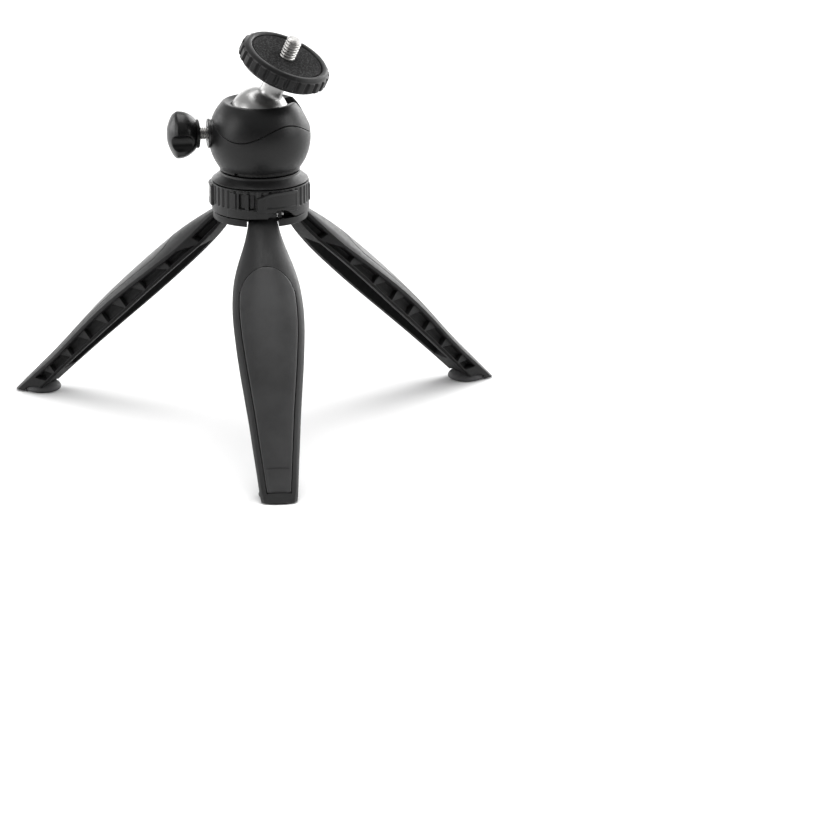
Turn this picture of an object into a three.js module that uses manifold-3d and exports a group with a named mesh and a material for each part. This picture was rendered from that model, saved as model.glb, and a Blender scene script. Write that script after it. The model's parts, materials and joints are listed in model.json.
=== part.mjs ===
// Mini table tripod with a ball head: three folding legs, a turning lock ring,
// a split round housing with a clamped ball, a clamp knob and a round camera plate.
// Units are millimetres, +Z up, the floor is z = 0, the front leg points to -Y.
import * as THREE from 'three';
import { mergeVertices } from 'three/addons/utils/BufferGeometryUtils.js';
import Module from 'manifold-3d';

// ---- driving dimensions -------------------------------------------------
const AXIS_Y = 25.6;          // tripod axis, so that the footprint is centred on the origin
const LEG_AZ = [0, 120, -120];
const HINGE_R = 13.5;         // leg hinge pin: distance from the axis
const HINGE_Z = 91.5;         // leg hinge pin: height
const LEG_DROP = 43.9;        // leg line below the horizontal when open
const LEG_END = 137.5;        // length of the leg blank from the hinge
const LEG_TIP_Z = 0.6;        // leg end is cut level this high above the floor
const KNUCKLE_R = 3.8;
const KNUCKLE_HW = 5.7;
const PIN_R = 1.5;
const PIN_HALF = 8.6;
const FOOT_R = 103.5;         // foot pad centre: distance from the axis
const FOOT_PAD_R = 8.2;
const PANEL_IN = 2.9;         // rim left beside the leg panel
const PANEL_S0 = 27.5;        // top of the panel arch
const PANEL_S1 = 130.2;       // lower end of the panel
const PANEL_T = 1.3;
const HUB_R = 17.3;
const HUB_FLANGE_R = 19.3;
const HUB_Z0 = 86.9;
const HUB_FLANGE_Z = 90.0;
const HUB_Z1 = 102.2;
const SLOT_HW = 6.45;
const RING_R = 20.0;
const RING_IN = 17.65;
const RING_Z0 = 90.45;
const RING_Z1 = 102.35;
const CAP_Z0 = 102.65;
const CAP_Z1 = 106.5;
const CAP_R0 = 19.7;
const CAP_R1 = 16.3;
const HEAD_Z0 = 107.0;
const HEAD_R = 20.8;          // round housing
const HEAD_C = 120.7;
const HEAD_TOP = 135.0;
const BALL_R = 12.5;
const BALL_Z = 128.5;
const CAVITY_R = 12.8;
const BORE_R = 13.2;          // straight bore below the ball
const SEAM_Z = 125.0;         // parting line of the two shells
const SEAM_A = 3.1;
const SEAM_PHASE = 2.0;
const KNOB_AZ = -86.3;
const KNOB_Z = 122.4;
const KNOB_SCOOPS = [-12, 108, 228];
const NOTCH_AZ = 93.7;
const NOTCH_W = 10.0;
const LEAN_AZ = 57.2;         // where the camera plate leans to
const LEAN = 26.4;
const STEM_R = 4.75;
const PLATE_R = 19.0;
const PLATE_D0 = 22.4;        // plate underside, from the ball centre
const PLATE_D1 = 30.2;        // plate rim top
const PAD_R = 15.5;
const PAD_D1 = 30.35;
const SCREW_D1 = 38.2;        // end of the 1/4 inch screw
const SCREW_R = 3.175;
const FIT = 0.3;

const D = Math.PI / 180;
const wasm = await Module();
wasm.setup();

// ---- boolean helpers ----------------------------------------------------
function solid(geometry) {
  let g = geometry.clone();
  g.deleteAttribute('normal');
  g.deleteAttribute('uv');
  g = mergeVertices(g, 1e-4);
  const idx = g.index.array;
  const pos = g.attributes.position.array;
  const keep = [];
  for (let i = 0; i < idx.length; i += 3) {
    const a = idx[i], b = idx[i + 1], c = idx[i + 2];
    if (a !== b && b !== c && a !== c) keep.push(a, b, c);
  }
  const mesh = new wasm.Mesh({ numProp: 3, vertProperties: new Float32Array(pos), triVerts: new Uint32Array(keep) });
  return new wasm.Manifold(mesh);
}
function geometryOf(manifold) {
  const m = manifold.getMesh();
  const g = new THREE.BufferGeometry();
  const n = m.vertProperties.length / m.numProp;
  const pos = new Float32Array(n * 3);
  for (let i = 0; i < n; i++) for (let k = 0; k < 3; k++) pos[i * 3 + k] = m.vertProperties[i * m.numProp + k];
  g.setAttribute('position', new THREE.BufferAttribute(pos, 3));
  g.setIndex(new THREE.BufferAttribute(new Uint32Array(m.triVerts), 1));
  return g;
}
const union = (a, ...rest) => rest.reduce((x, y) => x.add(y), a);
const cut = (a, ...rest) => rest.reduce((x, y) => x.subtract(y), a);

// ---- shape helpers ------------------------------------------------------
// A body turned about Z from [radius, height] pairs given bottom to top, outside.
function turned(profile, seg = 48) {
  const pts = profile.map(([r, z]) => new THREE.Vector2(r, z));
  const g = new THREE.LatheGeometry(pts, seg);
  g.rotateX(Math.PI / 2);
  return solid(g);
}
function cyl(r, z0, z1, seg = 40) {
  const g = new THREE.CylinderGeometry(r, r, z1 - z0, seg, 1);
  g.rotateX(Math.PI / 2);
  g.translate(0, 0, (z0 + z1) / 2);
  return solid(g);
}
function box(x0, x1, y0, y1, z0, z1) {
  const g = new THREE.BoxGeometry(x1 - x0, y1 - y0, z1 - z0);
  g.translate((x0 + x1) / 2, (y0 + y1) / 2, (z0 + z1) / 2);
  return solid(g);
}
function ball(r, z, seg = 48, rings = 24) {
  const g = new THREE.SphereGeometry(r, seg, rings);
  g.rotateX(Math.PI / 2);
  g.translate(0, 0, z);
  return solid(g);
}
function prism(points, z0, z1) {
  const shape = new THREE.Shape(points.map(([x, y]) => new THREE.Vector2(x, y)));
  const g = new THREE.ExtrudeGeometry(shape, { depth: z1 - z0, bevelEnabled: false });
  g.translate(0, 0, z0);
  return solid(g);
}
const lerpTable = (table, x) => {
  if (x <= table[0][0]) return table[0][1];
  for (let i = 1; i < table.length; i++) {
    if (x <= table[i][0]) {
      const [x0, y0] = table[i - 1], [x1, y1] = table[i];
      return y0 + (y1 - y0) * (x - x0) / (x1 - x0);
    }
  }
  return table[table.length - 1][1];
};
const sphereArc = (r, zc, z0, z1, n) => {
  const a0 = Math.asin((z0 - zc) / r), a1 = Math.asin((z1 - zc) / r), out = [];
  for (let i = 0; i <= n; i++) {
    const a = a0 + (a1 - a0) * i / n;
    out.push([r * Math.cos(a), zc + r * Math.sin(a)]);
  }
  return out;
};
// azimuth a (degrees, 0 = front, + = right) and radius to x, y
const polar = (r, a) => [r * Math.sin(a * D), -r * Math.cos(a * D)];
const turnZ = (m, a) => m.rotate([0, 0, a]);

// placement matrices
const toFrame = new THREE.Matrix4().makeTranslation(0, AXIS_Y, 0);
const legMatrix = (az) => {
  const c = Math.cos(LEG_DROP * D), s = Math.sin(LEG_DROP * D);
  // columns: along the leg, across it, out of its outer face
  const m = new THREE.Matrix4().set(
    0, 1, 0, 0,
    -c, 0, -s, -HINGE_R,
    -s, 0, c, HINGE_Z,
    0, 0, 0, 1);
  return new THREE.Matrix4().makeRotationZ(az * D).multiply(m);
};
// axis pointing outwards at an azimuth, with the body's own Z along it
const outwards = (az, z) => new THREE.Matrix4().makeTranslation(0, 0, z)
  .multiply(new THREE.Matrix4().makeRotationZ(az * D))
  .multiply(new THREE.Matrix4().makeRotationX(Math.PI / 2));
const leanMatrix = () => new THREE.Matrix4().makeTranslation(0, 0, BALL_Z)
  .multiply(new THREE.Matrix4().makeRotationZ(LEAN_AZ * D))
  .multiply(new THREE.Matrix4().makeRotationX(LEAN * D));
function move(m, matrix) {
  const e = matrix.elements;
  return m.transform([e[0], e[1], e[2], 0, e[4], e[5], e[6], 0, e[8], e[9], e[10], 0, e[12], e[13], e[14], 1]);
}

// ---- materials ----------------------------------------------------------
const skins = {
  matte: [0x2b2b2c, 0.55, 0.0], panel: [0x303031, 0.5, 0.0], ring: [0x272728, 0.58, 0.0],
  rubber: [0x1d1d1e, 0.85, 0.0], footrubber: [0x333334, 0.8, 0.0], knob: [0x121213, 0.35, 0.0],
  silver: [0xc9cacc, 0.28, 0.9], steel: [0xb4b2ac, 0.32, 1.0], dark: [0x161617, 0.6, 0.0],
};
const root = new THREE.Group();
root.name = 'table_tripod';
function put(name, manifold, skin) {
  const [color, roughness, metalness] = skins[skin];
  const g = geometryOf(manifold);
  g.applyMatrix4(toFrame);
  g.computeVertexNormals();
  const mesh = new THREE.Mesh(g, new THREE.MeshStandardMaterial({ color, roughness, metalness }));
  mesh.name = name;
  mesh.material.name = name + '_skin';
  root.add(mesh);
}

// ---- legs ---------------------------------------------------------------
// Half width, outer crest, edge drop and underside against the distance s from the hinge.
const HALF_W = [[0, 5.7], [5, 5.9], [8, 6.5], [11, 7.1], [14.6, 8.1], [18.5, 9.35], [22.3, 10.65], [26.2, 11.8],
  [30, 12.75], [33.8, 13.4], [37.7, 13.85], [41.6, 14.15], [45.4, 14.35], [49.3, 14.4], [53.1, 14.3], [57, 14.15],
  [60.8, 13.9], [64.6, 13.6], [72.3, 12.95], [80, 12.15], [87.7, 11.35], [95.4, 10.55], [103.1, 9.9], [110.8, 9.25],
  [118.5, 8.55], [126.2, 7.95], [131.5, 7.45], [134.3, 7.2], [137.5, 6.3]];
const CREST = [[0, 0.9], [3, 1.5], [5, 2.3], [8, 3.1], [12.3, 3.85], [19.8, 5.15], [26.3, 5.95], [30.3, 6.15],
  [45.8, 6.75], [56.8, 6.95], [68.8, 6.95], [79.3, 6.7], [89.8, 6.05], [100.8, 5.25], [110.8, 4.75], [121.8, 4.55],
  [133.8, 4.25], [137.5, 4.1]];
const DROP = [[0, 0.6], [8, 1.8], [12, 2.5], [20, 3.6], [28, 4.1], [47, 3.2], [67, 2.2], [90, 1.5], [110, 1.2], [137.5, 0.9]];
const UNDER = [[0, -3.7], [5, -4.0], [12.3, -5.2], [18.5, -5.6], [35, -5.6], [51, -5.4], [64.6, -5.15],
  [80, -4.7], [95.4, -4.3], [110.8, -4.1], [126.2, -4.1], [137.5, -4.1]];
const halfW = (s) => lerpTable(HALF_W, s);
const crest = (s) => lerpTable(CREST, s);
const edgeDrop = (s) => lerpTable(DROP, s);
const under = (s) => lerpTable(UNDER, s);
const surf = (s, v) => crest(s) - edgeDrop(s) * v * v - 0.5 * Math.pow(Math.max(0, (Math.abs(v) - 0.86) / 0.14), 2);
// the legs close to three 120 degree sectors, so the flanks end on that sector line
const sectorOff = (t) => (t + 0.8) / Math.tan(60 * D) - HINGE_R;
const stations = [];
for (const s of [0, 5, 12.3, 18.5, 26.2, 33.8, 41.6, 51, 64.6, 80, 95.4, 110.8, 126.2, LEG_END]) stations.push(s);
function legBlank(deeper = 0) {
  const ns = stations.length - 1, nt = 6, nw = 3;
  const g = new THREE.BoxGeometry(1, 2, 1, ns, nt, nw);
  const p = g.attributes.position;
  for (let i = 0; i < p.count; i++) {
    const s = stations[Math.round((p.getX(i) + 0.5) * ns)];
    const v = p.getY(i);
    const w = Math.round((p.getZ(i) + 0.5) * nw);
    const hw = halfW(s), low = under(s) - deeper, flank = hw - 0.6;
    const knee = Math.max(low + 0.9, Math.min(sectorOff(flank), surf(s, 1) - 1.2));
    const footT = Math.min(flank - 0.5, (low + HINGE_R) * Math.tan(60 * D) - 0.8);
    let t, off;
    if (w === 3) { t = v * hw; off = surf(s, v); }
    else if (w === 2) { t = v * (hw - 0.05); off = surf(s, 1) - 0.7 + (surf(s, v) - surf(s, 1)) * 0.15 * (Math.abs(v) < 1 ? 1 : 0); }
    else if (w === 1) { t = v * flank; off = knee; }
    else { t = v * Math.max(3, footT); off = low; }
    p.setXYZ(i, s, t, off);
  }
  return solid(g);
}
function panelBlank(grow, lift, thick) {
  const nodes = [];
  const s0 = PANEL_S0 - grow, s1 = PANEL_S1 + grow;
  const shape = (s) => {
    const arch = Math.min(1, (s - s0) / 11.0);
    const rim = halfW(s) - PANEL_IN + grow;
    return Math.max(0.6, rim * Math.sqrt(Math.max(0, 1 - Math.pow(1 - arch, 2.2))));
  };
  for (const f of [0, 0.9, 3.0, 6.5, 11.2]) nodes.push(s0 + f);
  for (const s of [51, 64.6, 80, 95.4, 110.8]) nodes.push(s);
  nodes.push(s1);
  const ns = nodes.length - 1, nt = 6;
  const g = new THREE.BoxGeometry(1, 2, 1, ns, nt, 1);
  const p = g.attributes.position;
  for (let i = 0; i < p.count; i++) {
    const s = nodes[Math.round((p.getX(i) + 0.5) * ns)];
    const t = p.getY(i) * shape(s);
    const top = surf(s, t / halfW(s));
    p.setXYZ(i, s, t, p.getZ(i) > 0 ? top + lift : top - thick);
  }
  return solid(g);
}
// side pockets between triangular buttresses
const RIBS = [22.0, 36.0, 50.7, 63.6, 75.6, 88.3, 101.2, 113.9];
const POCKETS = [[9.5, 20.6, 0.2, 0.4], [22.6, 35.2, 0.4, 2.4]];
for (let i = 1; i < RIBS.length - 1; i++) POCKETS.push([RIBS[i] + 0.8, RIBS[i + 1] - 0.5, 1.3, 1.9]);
POCKETS.push([114.7, 121.5, 1.2, 3.2]);
function flankWindow(s) {
  const top = surf(s, 1) - 2.5;
  const flank = halfW(s) - 0.6;
  const low = Math.max(under(s) + 0.9, sectorOff(flank)) + 1.9;
  return [low, top];
}
function pocket([a, b, in0, in1], side) {
  const [l0, u0] = flankWindow(a + 1), [l1, u1] = flankWindow(b - 1);
  const lo0 = Math.min(l0, u0 - 1.6), lo1 = Math.min(l1, u1 - 1.6);
  const pts = [[a + in0, lo0], [b - in1, lo1], [b, u1], [a, u0]];
  const depth = Math.min(3.0, Math.min(halfW(a), halfW(b)) - 3.2);
  const inner = Math.min(halfW(a), halfW(b)) - 0.6 - depth;
  const outer = Math.max(halfW(a), halfW(b)) + 2;
  const g = new THREE.ExtrudeGeometry(new THREE.Shape(pts.map(([x, y]) => new THREE.Vector2(x, y))), { depth: outer - inner, bevelEnabled: false });
  // shape plane (s, off) extruded across the leg
  g.rotateX(Math.PI / 2);
  g.translate(0, side > 0 ? outer : -inner, 0);
  return solid(g);
}
const legCommon = (() => {
  const knuckle = (() => {
    // barrel-shaped, so that its corners clear the bore of the ring
    const prof = [[0, -KNUCKLE_HW], [KNUCKLE_R - 0.9, -KNUCKLE_HW], [KNUCKLE_R - 0.45, -4], [KNUCKLE_R - 0.12, -2],
      [KNUCKLE_R - 0.12, 2], [KNUCKLE_R - 0.45, 4], [KNUCKLE_R - 0.9, KNUCKLE_HW], [0, KNUCKLE_HW]];
    return solid(new THREE.LatheGeometry(prof.map(([r, y]) => new THREE.Vector2(r, y)), 20));
  })();
  const pinHole = solid(new THREE.CylinderGeometry(PIN_R + FIT, PIN_R + FIT, 30, 14, 1));
  const socket = move(turned([[0, 2.9], [7.7, 2.9], [8.0, 3.4], [8.0, 7.4], [0, 7.4]], 24).translate([0, -FOOT_R, 0]), legMatrix(0).invert());
  let leg = union(legBlank(), knuckle, socket.intersect(legBlank(6)));
  const tool = [];
  for (const k of POCKETS) for (const side of [1, -1]) tool.push(pocket(k, side));
  leg = cut(leg, pinHole, panelBlank(0.3, 2, PANEL_T + FIT), ...tool);
  // hollow moulded underside
  const trough = prism([[22, -3.6], [26, -4.4], [108, -3.4], [111, -2.8], [111, 2.8], [108, 3.4], [26, 4.4], [22, 3.6]], -12, -3.6);
  leg = cut(leg, trough);
  // foot socket
  let out = move(leg, legMatrix(0));
  const footRoom = turned([[0, -2], [FOOT_PAD_R + 0.35, -2], [FOOT_PAD_R + 0.35, 1.75], [7.75, 2.95], [5.7, 4.05], [3.3, 4.5], [3.3, 5.9], [0, 5.9]], 24).translate([0, -FOOT_R, 0]);
  out = cut(out, footRoom, box(-30, 30, -140, -80, -20, LEG_TIP_Z));
  // one body only
  const parts = out.decompose().sort((a, b) => b.volume() - a.volume());
  return parts[0];
})();
const panelCommon = move(panelBlank(0, -0.12, PANEL_T), legMatrix(0));
const footCommon = turned([[0, 0], [6.8, 0], [7.9, 0.5], [8.2, 1.3], [7.4, 2.65], [5.4, 3.7], [3.0, 4.15], [3.0, 5.6], [0, 5.6]], 24).translate([0, -FOOT_R, 0]);
const pinCommon = (() => {
  const g = new THREE.CylinderGeometry(PIN_R, PIN_R, 2 * PIN_HALF, 16, 1);
  g.rotateZ(Math.PI / 2);
  g.translate(0, -HINGE_R, HINGE_Z);
  return solid(g);
})();
const LEG_NAMES = ['front', 'right', 'left'];
LEG_AZ.forEach((az, i) => {
  put('leg_' + LEG_NAMES[i], turnZ(legCommon, az), 'matte');
  put('leg_panel_' + LEG_NAMES[i], turnZ(panelCommon, az), 'panel');
  put('foot_' + LEG_NAMES[i], turnZ(footCommon, az), 'footrubber');
  put('hinge_pin_' + LEG_NAMES[i], turnZ(pinCommon, az), 'steel');
});

// ---- hub, ring and collar ----------------------------------------------
let hub = union(
  turned([[0, HUB_Z0], [HUB_FLANGE_R - 0.4, HUB_Z0], [HUB_FLANGE_R, HUB_Z0 + 0.4], [HUB_FLANGE_R, HUB_FLANGE_Z], [HUB_R, HUB_FLANGE_Z], [HUB_R, HUB_Z1], [0, HUB_Z1]], 36));
for (const az of LEG_AZ) {
  const slot = box(-SLOT_HW, SLOT_HW, -40, -9.2, 80, 95.9);
  const bore = (() => {
    const g = new THREE.CylinderGeometry(PIN_R + 0.25, PIN_R + 0.25, 40, 14, 1);
    g.rotateZ(Math.PI / 2);
    g.translate(0, -HINGE_R, HINGE_Z);
    return solid(g);
  })();
  hub = cut(hub, turnZ(slot, az), turnZ(bore, az));
}
hub = cut(hub, turned([[0, 80], [5.9, 80], [5.9, 99.8], [3.5, 99.8], [3.5, 110], [0, 110]], 24));
put('base_hub', hub, 'matte');

const ringOutline = (() => {
  const pts = [];
  const teeth = 42;
  for (let i = 0; i < teeth; i++) {
    const a = i * 360 / teeth;
    pts.push(polar(RING_R - 0.35, a), polar(RING_R, a + 1.8), polar(RING_R, a + 6.4));
  }
  return pts;
})();
// ribbed part above a plain lower band
let ring = prism(ringOutline, 94.0, RING_Z1);
ring = ring.add(turned([[0, RING_Z0], [RING_R - 0.5, RING_Z0], [RING_R, RING_Z0 + 0.5], [RING_R, 94.2], [0, 94.2]], 36));
function sector(r0, r1, a0, a1, z0, z1, n, topFn) {
  const pts = [];
  for (let i = 0; i <= n; i++) pts.push(polar(r1, a0 + (a1 - a0) * i / n));
  for (let i = n; i >= 0; i--) pts.push(polar(r0, a0 + (a1 - a0) * i / n));
  const g = new THREE.ExtrudeGeometry(new THREE.Shape(pts.map(([x, y]) => new THREE.Vector2(x, y))), { depth: z1 - z0, bevelEnabled: false });
  g.translate(0, 0, z0);
  if (topFn) {
    const p = g.attributes.position;
    for (let i = 0; i < p.count; i++) {
      if (p.getZ(i) > (z0 + z1) / 2) {
        const a = Math.atan2(p.getX(i), -p.getY(i)) / D;
        p.setZ(i, topFn(a));
      }
    }
  }
  return solid(g);
}
const waveTop = (a) => lerpTable([[-8, 99.3], [-3, 99.9], [3, 100.7], [11, 101.55], [20, 101.8], [33, 101.6], [50, 101.3]], a);
for (const az of LEG_AZ) {
  ring = ring.add(turnZ(sector(17.9, 20.9, -7, 44, 93.0, 102, 8, waveTop), az));
  // square grip lugs beside the wave panel
  for (const [a0, a1] of [[-41.3, -32.8], [-21.3, -16.4]]) ring = ring.add(turnZ(sector(18.5, 20.35, a0, a1, 94.0, 101.0, 2), az));
  for (const [a0, a1] of [[-28.9, -21.3], [-16.4, -10.5]]) ring = cut(ring, turnZ(sector(19.1, 23, a0, a1, 94.6, 100.8, 2), az));
}
ring = cut(ring, cyl(RING_IN, 80, 110, 36));
for (const az of LEG_AZ) {
  const arch = sector(15, 24, 5.5, 42.0, 85, 94, 8, (a) => lerpTable([[5.5, 90.8], [10, 92.2], [14, 93.7], [18, 94.2], [25, 94.2], [30, 93.4], [36, 92.1], [42, 90.4]], a));
  ring = cut(ring, turnZ(arch, az));
}
put('lock_ring', ring, 'ring');
put('collar_cap', cut(turned([[0, CAP_Z0], [CAP_R0 - 0.3, CAP_Z0], [CAP_R0, CAP_Z0 + 0.3], [CAP_R1 + 0.45, CAP_Z1 - 1.2], [CAP_R1, CAP_Z1 - 0.75], [CAP_R1, CAP_Z1 - 0.1], [CAP_R1 - 0.1, CAP_Z1], [13.6, CAP_Z1], [13.6, 105.5], [0, 105.5]], 36), cyl(3.5, 100, 110, 24)), 'ring');

// central 1/4 inch stud with its hexagonal socket
put('head_stud', cut(turned([[0, 97.4], [5.1, 97.4], [5.5, 97.8], [5.5, 99.5], [3.1, 99.5], [3.1, 112.2], [2.6, 112.8], [0, 112.8]], 20), cyl(2.0, 96, 98.8, 6)), 'steel');
put('friction_washer', cut(cyl(13.2, 105.8, 106.7, 32), cyl(3.6, 100, 110, 20)), 'rubber');

// ---- ball head housing --------------------------------------------------
const housing = () => turned([[0, HEAD_Z0], [16.0, HEAD_Z0], [16.35, HEAD_Z0 + 0.3], ...sphereArc(HEAD_R, HEAD_C, 108.2, HEAD_TOP - 0.35, 9), [14.6, HEAD_TOP + 0.2], [14.0, HEAD_TOP + 0.25], [11.6, 134.35], [0, 134.35]], 36);
const seam = (a) => SEAM_Z + SEAM_A * Math.sin(3 * (a - SEAM_PHASE) * D);
function above(gap) {
  const seg = 36;
  const pts = [[0, 118], [11, 118], [24, 118], [24, 150], [0, 150]].map(([r, z]) => new THREE.Vector2(r, z));
  const g = new THREE.LatheGeometry(pts, seg);
  g.rotateX(Math.PI / 2);
  const p = g.attributes.position;
  for (let i = 0; i < p.count; i++) {
    if (p.getZ(i) < 130) {
      const r = Math.hypot(p.getX(i), p.getY(i));
      p.setZ(i, (r > 1 ? seam(Math.atan2(p.getX(i), -p.getY(i)) / D) : SEAM_Z) + gap);
    }
  }
  return solid(g);
}
const shoeBore = move(cyl(2.9, 9, 40, 18), outwards(KNOB_AZ, KNOB_Z));
const bossBore = move(cyl(6.15, 16.9, 40, 20), outwards(KNOB_AZ, KNOB_Z));
const stemNotch = (() => {
  const slot = box(-NOTCH_W / 2, NOTCH_W / 2, -40, -8, 129.6, 150);
  const g = new THREE.CylinderGeometry(NOTCH_W / 2, NOTCH_W / 2, 32, 16, 1);
  g.translate(0, -24, 129.6);
  return turnZ(slot.add(solid(g)), NOTCH_AZ);
})();
const bore = turned([[0, 113.6], [BORE_R, 113.6], [BORE_R, BALL_Z + 0.2], [0, BALL_Z + 0.2]], 30);
const cavity = ball(CAVITY_R, BALL_Z, 30, 18);
// small notch in the lower rim of the housing
const rimNotch = turnZ(box(-1.2, 1.2, -30, -15.0, 100, 108.3), -38);
let lower = cut(housing(), above(0), bore, shoeBore, bossBore, rimNotch, cyl(3.5, 100, 120, 18));
put('lower_shell', lower.decompose().sort((a, b) => b.volume() - a.volume())[0], 'matte');
let upper = cut(housing().intersect(above(FIT)), bore, cavity, shoeBore, bossBore, stemNotch);
put('upper_shell', upper.decompose().sort((a, b) => b.volume() - a.volume())[0], 'matte');
put('ball_seat', turned([[0, 113.9], [12.5, 113.9], [12.9, 114.3], [12.9, 118.0], [12.5, 118.4], ...sphereArc(CAVITY_R, BALL_Z, BALL_Z - CAVITY_R + 0.001, 118.4, 5).reverse().map(([r, z], i, l) => i === l.length - 1 ? [0, BALL_Z - CAVITY_R] : [r, z])], 28), 'dark');

// ---- clamp screw, boss, shoe and knob -----------------------------------
const knobFrame = outwards(KNOB_AZ, KNOB_Z);
put('screw_boss', move(cut(turned([[0, 17.2], [5.85, 17.2], [5.85, 20.1], [6.05, 20.3], [6.05, 21.2], [5.75, 21.5], [0, 21.5]], 28), cyl(2.9, 15, 25, 18)), knobFrame), 'knob');
put('brake_shoe', cut(move(cyl(2.55, 9.6, 15.5, 18), knobFrame), cavity), 'dark');
const threadProfile = (r, pitch, z0, z1, root) => {
  const pts = [];
  for (let z = z0; z + pitch <= z1 + 1e-6; z += pitch) pts.push([root, z], [r, z + pitch * 0.42], [r, z + pitch * 0.58]);
  return pts;
};
put('knob_screw', move(turned([[0, 15.9], [2.2, 15.9], [2.5, 16.3], [2.5, 20.9], ...threadProfile(2.6, 0.8, 21.2, 24.9, 2.15), [2.5, 25.1], [2.5, 31.0], [0, 31.0]], 16), knobFrame), 'steel');
const knobBody = (() => {
  // turned body, widest near its domed outer end, with three finger scoops
  let k = turned([[0, 24.7], [5.6, 24.7], [5.9, 25.0], [6.0, 25.9], [6.6, 26.4], [7.6, 27.6], [8.85, 29.3], [9.5, 30.9], [9.8, 32.5],
    [9.86, 34.2], [8.2, 35.6], [6.2, 36.6], [4.0, 37.45], [2.6, 37.8], [0, 37.8]], 30);
  for (const a of KNOB_SCOOPS) {
    const scoop = turned([[0, 27.2], [2.4, 27.2], [3.4, 29.5], [3.6, 40], [0, 40]], 16);
    k = k.subtract(scoop.translate([10.0 * Math.cos(a * D), 10.0 * Math.sin(a * D), 0]));
  }
  return cut(k, cyl(2.8, 20, 31.3, 18));
})();
put('knob', move(knobBody, knobFrame), 'knob');

// ---- ball with stem, camera plate ---------------------------------------
const lean = leanMatrix();
put('ball_stem', move(turned([...sphereArc(BALL_R, 0, -BALL_R, 10.9, 10).map(([r, z], i) => i === 0 ? [0, -BALL_R] : [r, z]), [5.5, 11.5], [4.95, 12.2], [STEM_R, 13.2], [STEM_R, 20.4], [5.6, 21.2], [5.6, PLATE_D0 - FIT], [3.5, PLATE_D0 - FIT], [3.5, 16.0], [0, 16.0]], 28), lean), 'silver');
const plateOutline = (() => {
  const pts = [], n = 26;
  for (let i = 0; i < n; i++) {
    const a = i * 360 / n;
    for (const [f, r] of [[0, PLATE_R - 0.8], [0.2, PLATE_R], [0.8, PLATE_R]]) {
      const q = (a + f * 360 / n) * D;
      pts.push([r * Math.cos(q), r * Math.sin(q)]);
    }
  }
  return pts;
})();
let plate = prism(plateOutline, PLATE_D0 + 1.5, PLATE_D1 - 1.6);
plate = plate.add(turned([[0, PLATE_D0], [16.9, PLATE_D0], [18.1, PLATE_D0 + 1.5], [17.9, PLATE_D1 - 1.0], [17.2, PLATE_D1 - 0.15], [16.9, PLATE_D1], [0, PLATE_D1]], 26));
plate = cut(plate, turned([[0, 28.4], [15.95, 28.4], [15.95, 40], [0, 40]], 30), cyl(SCREW_R + 0.3, 15, 45, 16));
put('camera_plate', move(plate, lean), 'ring');
put('plate_pad', move(cut(turned([[0, 28.7], [PAD_R, 28.7], [PAD_R, PAD_D1 - 0.2], [PAD_R - 0.2, PAD_D1], [0, PAD_D1]], 30), cyl(SCREW_R + 0.3, 15, 45, 16)), lean), 'rubber');
put('camera_screw', move(turned([[0, 16.4], [SCREW_R - 0.2, 16.4], [SCREW_R - 0.1, 28.5], ...threadProfile(SCREW_R, 1.27, 29.0, 37.0, 2.55), [2.6, 37.2], [2.3, SCREW_D1 - 0.2], [2.0, SCREW_D1], [0, SCREW_D1]], 12), lean), 'steel');

export default root;
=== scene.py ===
# Looks of the mini table tripod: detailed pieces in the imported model's own frame.
# Shapes are given in millimetres and scaled to metres when a mesh is made.
import bpy
import bmesh
import json
import math
import numpy as np
from mathutils import Matrix, Vector

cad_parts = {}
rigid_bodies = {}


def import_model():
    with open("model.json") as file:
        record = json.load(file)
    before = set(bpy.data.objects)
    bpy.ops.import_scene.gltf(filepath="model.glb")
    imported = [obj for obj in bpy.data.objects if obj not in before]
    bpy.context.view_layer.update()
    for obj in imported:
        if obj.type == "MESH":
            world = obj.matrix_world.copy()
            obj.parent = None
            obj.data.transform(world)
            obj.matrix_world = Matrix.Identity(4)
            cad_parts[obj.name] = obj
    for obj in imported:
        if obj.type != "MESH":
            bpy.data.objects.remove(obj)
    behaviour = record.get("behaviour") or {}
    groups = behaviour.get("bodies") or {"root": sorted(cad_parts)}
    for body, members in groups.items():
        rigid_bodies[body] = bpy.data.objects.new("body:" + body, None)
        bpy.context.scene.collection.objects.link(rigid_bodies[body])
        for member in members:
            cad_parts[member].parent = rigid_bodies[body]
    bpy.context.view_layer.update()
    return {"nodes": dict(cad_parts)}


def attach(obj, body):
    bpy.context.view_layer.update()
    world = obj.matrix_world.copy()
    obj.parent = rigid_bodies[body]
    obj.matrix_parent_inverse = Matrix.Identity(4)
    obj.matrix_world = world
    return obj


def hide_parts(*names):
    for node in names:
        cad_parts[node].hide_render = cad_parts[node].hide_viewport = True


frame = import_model()
MM = 0.001
PI = math.pi
D = PI / 180

# ------------------------------------------------------------------ driving dimensions (as the CAD)
AXIS_Y = 25.6
LEGS = [("front", 0), ("right", 120), ("left", -120)]
HINGE_R, HINGE_Z, LEG_DROP, LEG_END = 13.5, 91.5, 43.9, 137.5
KNUCKLE_R, KNUCKLE_HW, PIN_R, PIN_HALF = 3.8, 5.7, 1.5, 8.6
FOOT_R, FOOT_PAD_R = 103.5, 8.2
PANEL_IN, PANEL_TOP, PANEL_S1, PANEL_T = 2.9, 28.6, 130.6, 1.3
HUB_R, HUB_FLANGE_R, HUB_Z0, HUB_FLANGE_Z, HUB_Z1, SLOT_HW = 17.3, 19.3, 86.9, 90.0, 102.2, 6.45
RING_R, RING_IN, RING_Z0, RING_Z1 = 20.0, 17.65, 90.45, 102.35
HEAD_R, HEAD_C = 20.8, 120.7
BALL_R, BALL_Z, CAVITY_R, BORE_R = 12.5, 128.5, 12.8, 13.2
SEAM_Z, SEAM_A, SEAM_PHASE = 125.0, 3.1, 2.0
KNOB_AZ, KNOB_Z = -86.3, 122.4
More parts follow.
